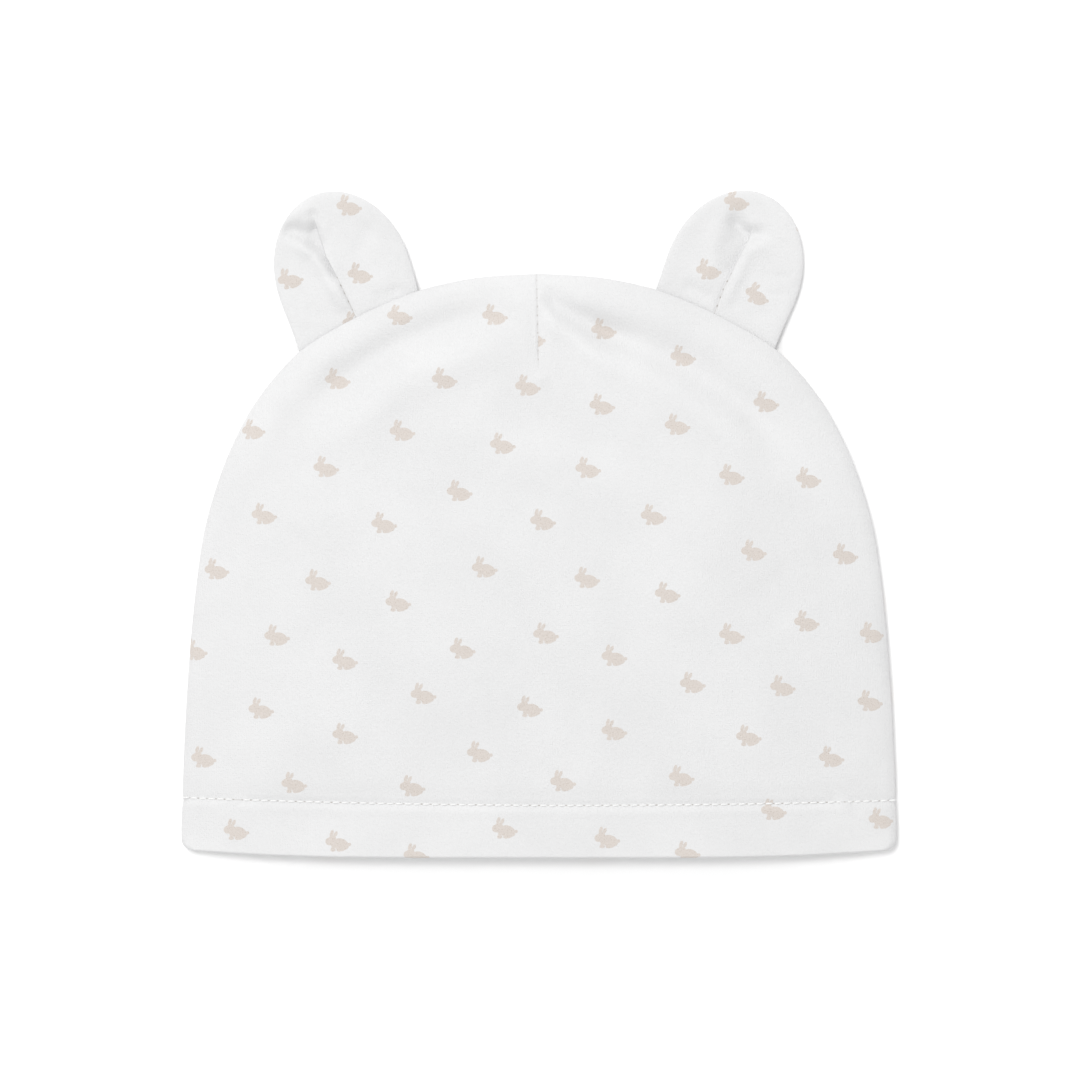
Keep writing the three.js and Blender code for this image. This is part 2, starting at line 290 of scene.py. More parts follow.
def ear_room(places):
    """1 where an ear's root lies in the seam, 0 away from it."""
    room = np.zeros(places.shape[:-1])
    for root in EAR_ROOTS:
        away = np.hypot(places[..., 0] - root[0], places[..., 1] - root[1]) - EAR_ROOT_HALF - 1.5
        room = np.maximum(room, 1 - smooth(away / 5))
    return room


def panel_skins(outline, faces_up, full_height, fine, coarse):
    """The panel's outer skin from the bottom of the seam's groove, or the hem's fold, and its inner skin."""
    places, is_hem = outline
    sign = 1 if faces_up else -1
    turns = np.radians([-60, -45, -30, -15, *np.linspace(0, 90, fine["roll_steps"])])
    roll = SEAM_ROLL * (1 - is_hem) + HEM_ROLL * is_hem
    insets = [roll * (1 - math.cos(turn)) for turn in turns] + [roll + inset for inset in fine["insets"]]
    plan = rows_inside(places, insets, fine["shares"])
    heights = full_height(plan)
    room = ear_room(places)
    groove = SEAM_LEVEL + sign * (0.04 + EAR_ROOM * room)
    seam_middle = groove + sign * ROLL_RISE * (1 - 0.25 * room)
    hem_middle = heights[len(turns) - 1] - sign * CLOTH
    middle = seam_middle * (1 - is_hem) + hem_middle * is_hem
    fall = (seam_middle - groove) / math.sin(GROOVE_TURN) * (1 - is_hem) + sign * CLOTH * is_hem
    for row, turn in enumerate(turns):
        reach = fall if turn < 0 else heights[row] - middle
        heights[row] = middle + reach * math.sin(turn)
    outer = np.concatenate([plan, heights[..., None]], axis=-1)
    # The cloth's map lies flat in plan, and runs on outwards over the rolled edge.
    cloth = plan.copy()
    for row in range(len(turns) - 2, -1, -1):
        step = np.linalg.norm(outer[row] - outer[row + 1], axis=1)
        away = plan[row] - plan[len(turns) + 1]
        cloth[row] = cloth[row + 1] + away / np.hypot(*away.T)[:, None] * step[:, None]
    # The inner skin starts where the outer one does, and curves away to the thickness of one or two layers.
    start = roll * (1 - math.cos(GROOVE_TURN))
    inner_roll = 2.4 * (1 - is_hem) + 1.0 * is_hem
    inner_plan = rows_inside(places, [start + inset for inset in coarse["insets"]], coarse["shares"])
    past_edge = inner_plan[..., 1] - stitches_up(inner_plan[..., 0]) - RAW_EDGE
    inner_heights = full_height(inner_plan) - sign * CLOTH * (2 - smooth(past_edge / 0.6))
    for row, inset in enumerate(coarse["insets"]):
        share = np.clip(inset / inner_roll, 0, 1)
        inner_heights[row] = heights[0] + (inner_heights[row] - heights[0]) * np.sqrt(1 - (1 - share) ** 2)
    inner = np.concatenate([inner_plan, inner_heights[..., None]], axis=-1)
    inner_cloth = inner_plan.copy()
    inner_cloth[..., 1] = 2 * fold_up(inner_plan[..., 0]) - inner_plan[..., 1] - 1.3
    return [
        {"places": outer, "cloth": cloth * [sign, 1], "is_right": np.ones(outer.shape[:2], bool)},
        {"places": inner, "cloth": inner_cloth * [sign, 1], "is_right": past_edge < 0},
    ]


# White cotton with rabbits printed in pale beige. The map "print" gives each place's distance in millimetres
# from the middle of its nearest rabbit, and the map "cloth" its place along the knitted rows.
WHITE_SHADE = (0.706, 0.706, 0.708, 1)
WHITE_LIGHT = (0.732, 0.732, 0.734, 1)
BEIGE_INK = (0.632, 0.580, 0.540, 1)
DARK_SPECKS = (0.505, 0.443, 0.392, 1)
# Painted shade for the grooves of the sewn lines and their needle holes.
NEEDLE_HOLE_SHADE = (0.25, 0.21, 0.17, 1)
WALE = 0.62  # from one upright rib of the knit to the next
COURSE = 0.50  # from one row of its stitches to the next
RABBIT = [
    {"part": "first_ear", "x": -1.62, "y": 1.92, "wide": 0.45, "high": 0.92, "turn": -20},
    {"part": "second_ear", "x": -0.66, "y": 1.72, "wide": 0.43, "high": 0.84, "turn": -28},
    {"part": "head", "x": -2.22, "y": -0.07, "wide": 0.98, "high": 0.97, "turn": 0},
    {"part": "crown", "x": -1.45, "y": 0.60, "wide": 0.95, "high": 0.80, "turn": 0},
    {"part": "neck", "x": -1.10, "y": -0.40, "wide": 1.00, "high": 1.00, "turn": 0},
    {"part": "body", "x": 0.60, "y": -0.78, "wide": 2.00, "high": 1.48, "turn": -17},
    {"part": "rump", "x": 1.62, "y": -1.15, "wide": 1.02, "high": 0.98, "turn": 0},
    {"part": "tail", "x": 2.78, "y": -0.80, "wide": 0.45, "high": 0.45, "turn": 0},
    {"part": "belly", "x": 1.05, "y": -1.85, "wide": 1.00, "high": 0.60, "turn": 22},
    {"part": "haunch", "x": 0.22, "y": -2.08, "wide": 0.64, "high": 0.52, "turn": 0},
    {"part": "front_leg", "x": -1.20, "y": -1.45, "wide": 0.50, "high": 0.85, "turn": 0},
    {"part": "front_foot", "x": -1.28, "y": -2.12, "wide": 0.68, "high": 0.48, "turn": 0},
]


def math_node(tree, operation, a, b=None, c=None):
    node = tree.nodes.new("ShaderNodeMath")
    node.operation = operation
    for socket, value in zip(node.inputs, (a, b, c)):
        if isinstance(value, bpy.types.NodeSocket):
            tree.links.new(value, socket)
        elif value is not None:
            socket.default_value = value
    return node.outputs[0]


def vector_node(tree, operation, a, b=(0, 0, 0)):
    node = tree.nodes.new("ShaderNodeVectorMath")
    node.operation = operation
    tree.links.new(a, node.inputs[0])
    node.inputs[1].default_value = b
    return node.outputs["Value"] if operation == "LENGTH" else node.outputs[0]


def noise_node(tree, vector, scale, detail=2.0, roughness=0.5):
    node = tree.nodes.new("ShaderNodeTexNoise")
    node.inputs["Scale"].default_value = scale
    node.inputs["Detail"].default_value = detail
    node.inputs["Roughness"].default_value = roughness
    tree.links.new(vector, node.inputs["Vector"])
    return node.outputs["Fac"]


def ramp_node(tree, value, low, high, to_low=0.0, to_high=1.0):
    node = tree.nodes.new("ShaderNodeMapRange")
    node.interpolation_type = "SMOOTHSTEP"
    for name, number in (("From Min", low), ("From Max", high), ("To Min", to_low), ("To Max", to_high)):
        node.inputs[name].default_value = number
    tree.links.new(value, node.inputs["Value"])
    return node.outputs["Result"]


def mix_colour(tree, share, a, b):
    node = tree.nodes.new("ShaderNodeMix")
    node.data_type = "RGBA"
    sockets = {socket.identifier: socket for socket in node.inputs}
    for name, value in (("Factor_Float", share), ("A_Color", a), ("B_Color", b)):
        if isinstance(value, bpy.types.NodeSocket):
            tree.links.new(value, sockets[name])
        else:
            sockets[name].default_value = value
    return next(socket for socket in node.outputs if socket.identifier == "Result_Color")


def map_node(tree, name):
    node = tree.nodes.new("ShaderNodeUVMap")
    node.uv_map = name
    return node.outputs["UV"]


def rabbit_ink(tree, place):
    """1 inside the printed rabbit and 0 outside it, with the slightly ragged edge of ink on knitting."""
    nearest = None
    for part in RABBIT:
        moved = vector_node(tree, "SUBTRACT", place, (part["x"], part["y"], 0))
        turn = tree.nodes.new("ShaderNodeVectorRotate")
        turn.rotation_type = "Z_AXIS"
        turn.inputs["Angle"].default_value = -math.radians(part["turn"])
        tree.links.new(moved, turn.inputs["Vector"])
        scaled = vector_node(tree, "DIVIDE", turn.outputs[0], (part["wide"], part["high"], 1))
        beyond = math_node(tree, "SUBTRACT", vector_node(tree, "LENGTH", scaled), 1.0)
        reach = math_node(tree, "MULTIPLY", beyond, min(part["wide"], part["high"]))
        nearest = reach if nearest is None else math_node(tree, "SMOOTH_MIN", nearest, reach, 0.10)
    ragged = math_node(tree, "MULTIPLY_ADD", noise_node(tree, place, 3.2), 0.2, -0.1)
    return ramp_node(tree, math_node(tree, "ADD", nearest, ragged), 0.08, -0.10)


def knit_relief(tree, cloth):
    """Height of the knitted face in millimetres: fine upright wales, broken by the stitches and by fuzz."""
    wander = math_node(tree, "MULTIPLY_ADD", noise_node(tree, cloth, 0.35), 1.6, -0.8)
    parts = tree.nodes.new("ShaderNodeSeparateXYZ")
    tree.links.new(cloth, parts.inputs[0])
    wale_place = math_node(tree, "ADD", parts.outputs[0], wander)
    wale = math_node(tree, "SINE", math_node(tree, "MULTIPLY", wale_place, 2 * math.pi / WALE))
    course = math_node(tree, "SINE", math_node(tree, "MULTIPLY", parts.outputs[1], 2 * math.pi / COURSE))
    loops = math_node(tree, "MULTIPLY_ADD", course, 0.35, wale)
    fuzz = math_node(tree, "SUBTRACT", noise_node(tree, cloth, 1.5, 5.0, 0.75), 0.5)
    return math_node(tree, "MULTIPLY_ADD", loops, 0.012, math_node(tree, "MULTIPLY", fuzz, 0.27))


def printed(tree, cloth, colour):
    ink = rabbit_ink(tree, map_node(tree, "print"))
    worn = ramp_node(tree, noise_node(tree, cloth, 2.2, 3.0, 0.7), 0.25, 0.6, 0.84, 1.0)
    speckle = ramp_node(tree, noise_node(tree, cloth, 3.4, 2.0, 0.6), 0.54, 0.68)
    beige = mix_colour(tree, speckle, BEIGE_INK, DARK_SPECKS)
    return mix_colour(tree, math_node(tree, "MULTIPLY", ink, worn), colour, beige)


def painted_sewn_shade(tree, cloth, colour):
    """Paints shade into sewn grooves, most at needle holes. "sewn": distance, count of stitches, strength.
    """
    sewn = tree.nodes.new("ShaderNodeAttribute")
    sewn.attribute_name = "sewn"
    parts = tree.nodes.new("ShaderNodeSeparateXYZ")
    tree.links.new(sewn.outputs["Vector"], parts.inputs[0])
    away = math_node(tree, "ABSOLUTE", parts.outputs[0])
    run = math_node(tree, "COSINE", math_node(tree, "MULTIPLY", parts.outputs[1], 2 * math.pi))
    uneven = ramp_node(tree, noise_node(tree, cloth, 0.6), 0.35, 0.65, 0.45, 1.0)
    hole = math_node(tree, "MULTIPLY", ramp_node(tree, run, -0.6, -1.0, 0.30, 1.0), uneven)
    line = math_node(tree, "MULTIPLY", ramp_node(tree, away, 0.25, 0.05), hole)
    strength = math_node(tree, "MULTIPLY", line, parts.outputs[2])
    return mix_colour(tree, strength, colour, NEEDLE_HOLE_SHADE)


def jersey_material(name, is_printed):
    material = bpy.data.materials.new(name)
    material.use_nodes = True
    tree = material.node_tree
    shader = tree.nodes["Principled BSDF"]
    cloth = map_node(tree, "cloth")
    tone = ramp_node(tree, noise_node(tree, cloth, 0.045, 3.0), 0.3, 0.7)
    colour = mix_colour(tree, tone, WHITE_SHADE, WHITE_LIGHT)
    if is_printed:
        # The sewn lines get painted shade in their grooves and needle holes.
        colour = painted_sewn_shade(tree, cloth, printed(tree, cloth, colour))
    tree.links.new(colour, shader.inputs["Base Color"])
    shader.inputs["Roughness"].default_value = 0.92
    shader.inputs["Specular IOR Level"].default_value = 0.2
    shader.inputs["Sheen Weight"].default_value = 0.15
    shader.inputs["Sheen Roughness"].default_value = 0.6
    bump = tree.nodes.new("ShaderNodeBump")
    bump.inputs["Distance"].default_value = MM
    tree.links.new(knit_relief(tree, cloth), bump.inputs["Height"])
    tree.links.new(bump.outputs["Normal"], shader.inputs["Normal"])
    return material


right_side = jersey_material("printed_jersey", True)
wrong_side = jersey_material("jersey_wrong_side", False)

# The print repeats over a slanted tile of twelve rabbits.
PRINT_ACROSS = np.array([67.0, 0.5])
PRINT_UP = np.array([-5.0, 65.0])
PRINT_TILE = [
    {"across": -80.5, "up": 72.0},
    {"across": -55.0, "up": 69.25},
    {"across": -35.0, "up": 64.0},
    {"across": -65.25, "up": 55.5},
    {"across": -19.0, "up": 52.25},
    {"across": -48.25, "up": 49.5},
    {"across": -69.25, "up": 37.25},
    {"across": -28.75, "up": 41.0},
    {"across": -48.25, "up": 31.0},
    {"across": -14.75, "up": 26.5},
    {"across": -61.0, "up": 18.75},
    {"across": -31.5, "up": 18.0},
]
# Rabbits that the cloth's give moves a little out of the repeat: where each would be, and its shift.
SHIFTED = [
    {"across": -66, "up": 84, "by": (-2.5, 2)},
    {"across": -36.5, "up": 83, "by": (-2, 0.5)},
    {"across": 30.5, "up": 85, "by": (-2, 0.5)},
    {"across": 79, "up": 76, "by": (-2.5, -0.5)},
    {"across": 69, "up": 61.5, "by": (-2, -2.5)},
    {"across": 86, "up": 57, "by": (-2.5, -1)},
    {"across": 65, "up": 43, "by": (-4, 0)},
    {"across": 86, "up": 38.5, "by": (-3, 0.5)},
    {"across": -82, "up": 26, "by": (-2, -1)},
    {"across": 84, "up": 12, "by": (1.5, -2)},
    {"across": -30, "up": -1, "by": (-0.5, 2)},
]
# Around the crown the dart and the ears draw the cloth, and the rabbits lie as they were sewn. "side" is the
# side of the dart on which a rabbit shows that the dart has half swallowed.
CROWN_RABBITS = [
    {"across": -34.75, "up": 135.5},
    {"across": -11, "up": 135.5},
    {"across": 16.25, "up": 132},
    {"across": -1.5, "up": 129.75, "side": 1},
    {"across": 36, "up": 125.25},
    {"across": -50.25, "up": 119.5},
    {"across": -23.5, "up": 119.5},
    {"across": -2.75, "up": 117.75},
    {"across": 56.75, "up": 113.75},
    {"across": 15.75, "up": 113},
    {"across": 34.5, "up": 108},
    {"across": -71.5, "up": 107},
    {"across": -34, "up": 106.5},
    {"across": -9, "up": 103.25},
    {"across": -53, "up": 97.5},
    {"across": 12.25, "up": 97.25},
    {"across": 48, "up": 95.5},
    {"across": 67.25, "up": 94.75},
]


def tile_spots(shift=(0, 0)):
    tile = np.array([[spot["across"], spot["up"]] for spot in PRINT_TILE])
    steps = range(-3, 4)
    spots = np.vstack([tile + shift + i * PRINT_ACROSS + j * PRINT_UP for i in steps for j in steps])
    return spots[(np.abs(spots[:, 0]) < 100) & (np.abs(spots[:, 1] - 65) < 95)]


def spot_rows(spots):
    return [[spot["across"], spot["up"], spot.get("turn", 0), spot.get("side", 0)] for spot in spots]


def front_spots():
    spots = tile_spots()
    spots[:, 1] += 0.276 * np.log1p(np.exp((spots[:, 0] - 14) / 3))
    spots = spots[spots[:, 1] < 94 - 0.08 * np.abs(spots[:, 0])]
    for shift in SHIFTED:
        place = [shift["across"], shift["up"]]
        spots[np.argmin(np.hypot(*(spots - place).T))] += shift["by"]
    return np.vstack([np.pad(spots, ((0, 0), (0, 2))), spot_rows(CROWN_RABBITS)])


def print_places(cloth, owner, sizes, spots, sewn_side):
    """Where each corner lies from the middle of its face's nearest rabbit, turned as that rabbit is.

    "owner" is each corner's face, and "sizes" how many corners each face has.
    """
    middles = np.column_stack([np.bincount(owner, cloth[:, i]) / sizes for i in range(2)])
    apart = np.hypot(*(middles[:, None, :] - spots[None, :, :2]).transpose(2, 0, 1))
    if sewn_side is not None:
        apart[sewn_side(middles)[:, None] * spots[None, :, 3] < 0] = 1000
    nearest = np.argmin(apart, axis=1)[owner]
    local = cloth - spots[nearest, :2]
    turn = -np.radians(spots[nearest, 2])
    across = local[:, 0] * np.cos(turn) - local[:, 1] * np.sin(turn)
    up = local[:, 0] * np.sin(turn) + local[:, 1] * np.cos(turn)
    return np.column_stack([across, up])


def closed_mesh(name, skins, sewn, spots, faces_up=True, sewn_side=None):
    """A closed piece of an outer skin, and an inner skin that goes on from the outer one's first row.

    Each skin holds its rows of places, its cloth map, and whether each place is on the cloth's right side.
    """
    width = skins[0]["places"].shape[1]
    points = np.vstack([skin["places"].reshape(-1, 3) for skin in skins])
    cloth = np.vstack([skin["cloth"].reshape(-1, 2) for skin in skins])
    right = np.concatenate([skin["is_right"].ravel() for skin in skins])
    outer = np.arange(skins[0]["places"].shape[0] * width).reshape(-1, width)
    inner = outer.size + np.arange(skins[1]["places"].shape[0] * width).reshape(-1, width)
    quads = []
    for ids in (outer, np.vstack([outer[:1], inner])[::-1]):
        beside = np.roll(ids, -1, axis=1)
        quads.append(np.stack([ids[:-1], beside[:-1], beside[1:], ids[1:]], axis=-1).reshape(-1, 4))
    # Places that fall together become one, as along the line on which the last row of an ear closes.
    _, first, same = np.unique(points.round(4), axis=0, return_index=True, return_inverse=True)
    same = first[same.reshape(-1)]
    faces = [list(dict.fromkeys(same[quad].tolist())) for quad in np.vstack(quads)]
    for ids, order in ((outer[-1], 1), (inner[-1], -1)):
        if len(set(same[ids].tolist())) == width:
            faces.append(ids[::order].tolist())
    faces = [face if faces_up else face[::-1] for face in faces if len(face) > 2]
    used = np.unique([i for face in faces for i in face])
    renumber = np.zeros(len(points), int)
    renumber[used] = np.arange(len(used))
    faces = [renumber[face].tolist() for face in faces]
    points, cloth, right = points[used], cloth[used], right[used]
    mesh = bpy.data.meshes.new(name)
    mesh.from_pydata((points * MM + [0, HEM_Y, 0]).tolist(), [], faces)
    corners = np.array([i for face in faces for i in face])
    sizes = np.array([len(face) for face in faces])
    owner = np.repeat(np.arange(len(faces)), sizes)
    on_print = print_places(cloth[corners], owner, sizes, spots, sewn_side)
    for layer, values in (("cloth", cloth[corners]), ("print", on_print)):
        mesh.uv_layers.new(name=layer).data.foreach_set("uv", values.ravel())
    mesh.attributes.new("sewn", "FLOAT_VECTOR", "POINT").data.foreach_set("vector", sewn(points).ravel())
    mesh.materials.append(right_side)
    mesh.materials.append(wrong_side)
    is_wrong = np.bincount(owner, ~right[corners]) > 0.5 * sizes
    mesh.polygons.foreach_set("material_index", is_wrong.astype(np.int32))
    mesh.polygons.foreach_set("use_smooth", np.ones(len(faces), bool))
    mesh.update()
    piece = bpy.data.objects.new(name, mesh)
    bpy.context.scene.collection.objects.link(piece)
    return piece


def hem_stitch_path(height):
    """The line of the hem's stitches on the cloth, and the count of stitches up to each of its places."""
    across = np.linspace(-SIDE + 1.1, SIDE - 1.1, 800)
    places = np.column_stack([across, stitches_up(across)])
    path = np.column_stack([places, height(places)])
    run = np.r_[0.0, np.cumsum(np.linalg.norm(np.diff(path, axis=0), axis=1))]
    return path, run / run[-1] * math.floor(run[-1] / STITCH_PITCH)


front_stitch_path = hem_stitch_path(front_height)
FINE = {"roll_steps": 9, "insets": np.arange(0.4, 24.0, 0.42), "shares": np.linspace(0.03, 0.985, 30)}
COARSE = {
    "insets": [0.3, 0.9, 1.8, 2.6, 4.0, 6.0, 9.0, 12.0, 13.0, 13.7, 14.2, 15.0, 18.0, 22.0, 27.0],
    "shares": [0.15, 0.35, 0.55, 0.75, 0.93],
}


def front_sewing(points):
    across, up = points[:, 0], points[:, 1]
    path, count = front_stitch_path
    on_dart = up > 60
    away = np.where(on_dart, across - dart_line(up), up - stitches_up(across))
    run = np.where(on_dart, up / 2.2, np.interp(across, path[:, 0], count))
    # How strongly shade is painted into the dart's groove, and into the hem stitching's groove and holes
    # (0.65).
    dart_shade = 0.5 * smooth((up - CROWN + DART["length"]) / 3)
    return np.column_stack([away, run, np.where(on_dart, dart_shade, 0.65)])


front_panel = closed_mesh(
    "hat_front",
    panel_skins(panel_outline(0.9, 0.25), True, front_height, FINE, COARSE),
    front_sewing,
    front_spots(),
    sewn_side=lambda places: np.sign(places[:, 0] - dart_line(places[:, 1])),
)
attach(front_panel, "root")
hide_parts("front_panel")

# ==== Back panel ========================================================================================
# The lower half, cut from the same pattern without a dart, with the same hem. It is sewn to the front panel
# all round the dome, and the hat's own weight presses it flat on the table.
BACK_FINE = {
    "roll_steps": 8,
    "insets": [*np.arange(0.6, 15.0, 0.8), 17, 20, 24],
    "shares": np.linspace(0.05, 0.98, 14),
}


def back_height(places):
    above = places[..., 1] - stitches_up(places[..., 0])
    return 0.30 * bell(above / 0.9) + 0.05 * (1 + unevenness(places, 18, 1.3))


back_stitch_path = hem_stitch_path(back_height)


def back_sewing(points):
    across, up = points[:, 0], points[:, 1]
    path, count = back_stitch_path
    run = np.interp(across, path[:, 0], count)
    # 0.65: how strongly shade is painted into the hem stitching's groove and needle holes.
    return np.column_stack([up - stitches_up(across), run, np.full(len(points), 0.65)])


back_panel = closed_mesh(
    "hat_back",
    panel_skins(panel_outline(0.9, 0.9), False, back_height, BACK_FINE, COARSE),
    back_sewing,
    np.pad(tile_spots((11, 23)), ((0, 0), (0, 2))),
    faces_up=False,
)
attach(back_panel, "root")
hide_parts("back_panel")

# ==== Ears ==============================================================================================
# Two layers of the same jersey, sewn round, turned and pressed flat, with a crease sewn up each front. Their
# roots are sewn in between the panels. "out" is away from the hat's middle, "along" towards the tip.
EAR = {
    "height": 33.6,
    "shoulder": 12.0,
    "half": 17.0,
    "root_half": EAR_ROOT_HALF,
    "inside": 2.9,
    "bulge": 1.2,
}
EAR_LEVEL = 2.0  # height of its seam at the tip
EAR_PUFF = 1.45  # half of its thickness beside the seam
ROOT_PUFF = 0.95
EAR_ROLL = 2.4
EAR_LOWEST = 0.9  # lower than this the front layer meets the back one
EAR_GIVE = 0.35  # and sinks by only this share of what is left
BEHIND = 300.0  # the map of an ear's back lies this far beside the map of its front
EARS = [
    {
        "name": "left_ear",
        "side": -1,
        "root": EAR_ROOTS[0],
        "lean": 18.4,
        "crease": [(0.2, -3), (0.35, 1), (1.8, 13), (2.6, 18), (2.5, 25.5)],
        "drops": [
            {"side": -1, "from": 0.5, "to": 14, "depth": 0.4, "width": 1.0},
            {"side": 1, "from": 10, "to": 28.5, "depth": 2.0, "width": 1.7},
        ],
        "folds": [
            {
                "name": "hollow",
                "path": [(3.2, 18), (3.8, 21.5), (5, 24.6), (9, 27), (13, 27.5)],
                "width": 2.1,
                "height": -1.9,
            },
            {"name": "top_hollow", "path": [(3.4, 23), (2.8, 27), (2.2, 31)], "width": 1.3, "height": -0.8},
            {
                "name": "roll",
                "path": [(1.6, 0), (3, 8), (4.1, 14), (5.4, 19.3), (9.2, 23.9), (12.5, 27)],
                "width": 1.9,
                "height": 1.3,
            },
            {"name": "pillow", "path": [(6.2, 31)], "width": 1.8, "height": 0.35},
            {"name": "inner_edge", "path": [(0.7, 9), (1.6, 20), (0.8, 29)], "width": 1.3, "height": 0.35},
            {"name": "root_hollow", "path": [(-4, 3.5), (-8, 2.6), (-14, 4.5)], "width": 2, "height": -0.6},
            {
                "name": "middle_hollow",
                "path": [(-3, 15), (-8, 19), (-11, 24)],
                "width": 2.2,
                "height": -0.35,
            },
        ],
        "rabbits": [
            {"across": -47.5, "up": 163.0},
            {"across": -62.25, "up": 144.75, "turn": 10},
            {"across": -44.75, "up": 146.0},
            {"across": -46.0, "up": 133.75, "side": 1},
        ],
    },
    {
        "name": "right_ear",
        "side": 1,
        "root": EAR_ROOTS[1],
        "lean": 21.0,
        "crease": [(-1.0, -3), (-0.8, 1), (-0.9, 8), (0.0, 16), (0.6, 22)],
        "drops": [
            {"side": -1, "from": 0.5, "to": 23, "depth": 0.5, "width": 1.2},
            {"side": -1, "from": 10, "to": 26, "depth": 1.9, "width": 3.0},
        ],
        "folds": [
            {
                "name": "hollow",
                "path": [(-7, 26), (-3, 24), (0.6, 22.6), (2.6, 24), (4.2, 27)],
                "width": 2.1,
                "height": -1.5,
            },
            {
                "name": "soft_hollow",
                "path": [(-1.5, 17), (-2.2, 20), (-3.4, 24.5), (-5.8, 30)],
                "width": 2.4,
                "height": -0.6,
            },
            {"name": "shoulder", "path": [(-4, 8), (-6.5, 16), (-8.5, 25)], "width": 2.6, "height": 0.6},
            {
                "name": "roll",
                "path": [(0.9, 0), (1, 10), (1.5, 16), (2.2, 21), (4.2, 24)],
                "width": 1.7,
                "height": 0.6,
            },
            {"name": "pillow", "path": [(4.2, 21.6)], "width": 2.4, "height": 0.45},
            {"name": "root_hollow", "path": [(-2, 3), (-6, 4.5), (-12, 5)], "width": 2, "height": -0.6},
            {"name": "side_wrinkle", "path": [(9.5, 15), (15, 17.4)], "width": 0.7, "height": -0.16},
            {"name": "low_wrinkle", "path": [(9, 10.5), (15, 12.6)], "width": 0.8, "height": -0.14},
        ],
        "rabbits": [
            {"across": 49.5, "up": 164.25, "turn": -2},
            {"across": 42.5, "up": 147.0},
            {"across": 54.75, "up": 140.75, "turn": -20},
            {"across": 67.6, "up": 157.25},
        ],
    },
]


def ear_outline():
    """The outline from the root's middle round the out side, in the ear's own frame."""
    root_out = np.linspace(0, EAR["root_half"], 22)[:-1]
    root_along = EAR["bulge"] * (1 - (root_out / EAR["root_half"]) ** 2) - EAR["inside"]
    root = np.column_stack([root_out, root_along])
    side_along = np.linspace(-EAR["inside"], EAR["shoulder"], 24)[:-1]
    side_out = EAR["root_half"] + (EAR["half"] - EAR["root_half"]) * smooth(side_along / EAR["shoulder"])
    turn = np.linspace(0, math.pi / 2, 60)
    top_along = EAR["shoulder"] + (EAR["height"] - EAR["shoulder"]) * np.sin(turn)
    top = np.column_stack([EAR["half"] * np.cos(turn), top_along])
    half = np.vstack([root, np.column_stack([side_out, side_along]), top])
    return np.vstack([half, (half * [-1, 1])[-2:0:-1]])


def ear_level(along):
    """Height of the ear's outer seam, from the panels' own seam at its root to nearer the table."""
    return SEAM_LEVEL + (EAR_LEVEL - SEAM_LEVEL) * smooth(along / EAR["shoulder"])


def beyond_crease(ear, out, along):
    """How far a place lies past the crease, on the side away from the hat's middle."""
    rows = np.array(ear["crease"])
    return out - np.interp(along, rows[:, 1], rows[:, 0])


def ear_rows(ear, turns, shares):
    """Rows over the rounded edge and then inwards until both sides meet on the crease."""
    loop = ear_outline()
    rows = np.array(ear["crease"])
    meet_along = np.clip(loop[:, 1], rows[0, 1] + 1.5, rows[-1, 1])
    inward = np.column_stack([np.interp(meet_along, rows[:, 1], rows[:, 0]), meet_along]) - loop
    reach = np.hypot(*inward.T)[:, None]
    travels = [EAR_ROLL * (1 - math.cos(turn)) + 0 * reach for turn in turns]
    travels += [EAR_ROLL + (reach - EAR_ROLL) * share for share in shares]
    return np.array([loop + inward / reach * travel for travel in travels])


def ear_front(ear, plan):
    """Height of the front layer: puffed beside the seam, folded, and drawn down along the crease."""
    out, along = plan[..., 0], plan[..., 1]
    freed = smooth((along - 1.5) / 4)
    height = ear_level(along) + ROOT_PUFF + (EAR_PUFF - ROOT_PUFF) * smooth((along - 1.0) / 9)
    height += freed * fold_height(plan, ear["folds"])
    beyond = beyond_crease(ear, out, along)
    for drop in ear["drops"]:
        within = smooth((along - drop["from"]) / 4) * smooth((drop["to"] - along) / 4)
        fade = np.exp(-np.abs(beyond) / drop["width"]) * smooth(drop["side"] * beyond / 0.25)
        height -= drop["depth"] * within * fade
    height = np.maximum(height, EAR_LOWEST + EAR_GIVE * (height - EAR_LOWEST))
    sewn = smooth((along - 0.5) / 2) * smooth((15 - along) / 5)
    height += sewn * puckers(beyond, along / 1.3)
    height -= sewn * 0.35 * bell(beyond / 0.3)
    swells = 0.30 * unevenness(plan, 8, 5.0 + ear["side"]) + 0.10 * unevenness(plan, 3.5, 9.0)
    return height + freed * swells


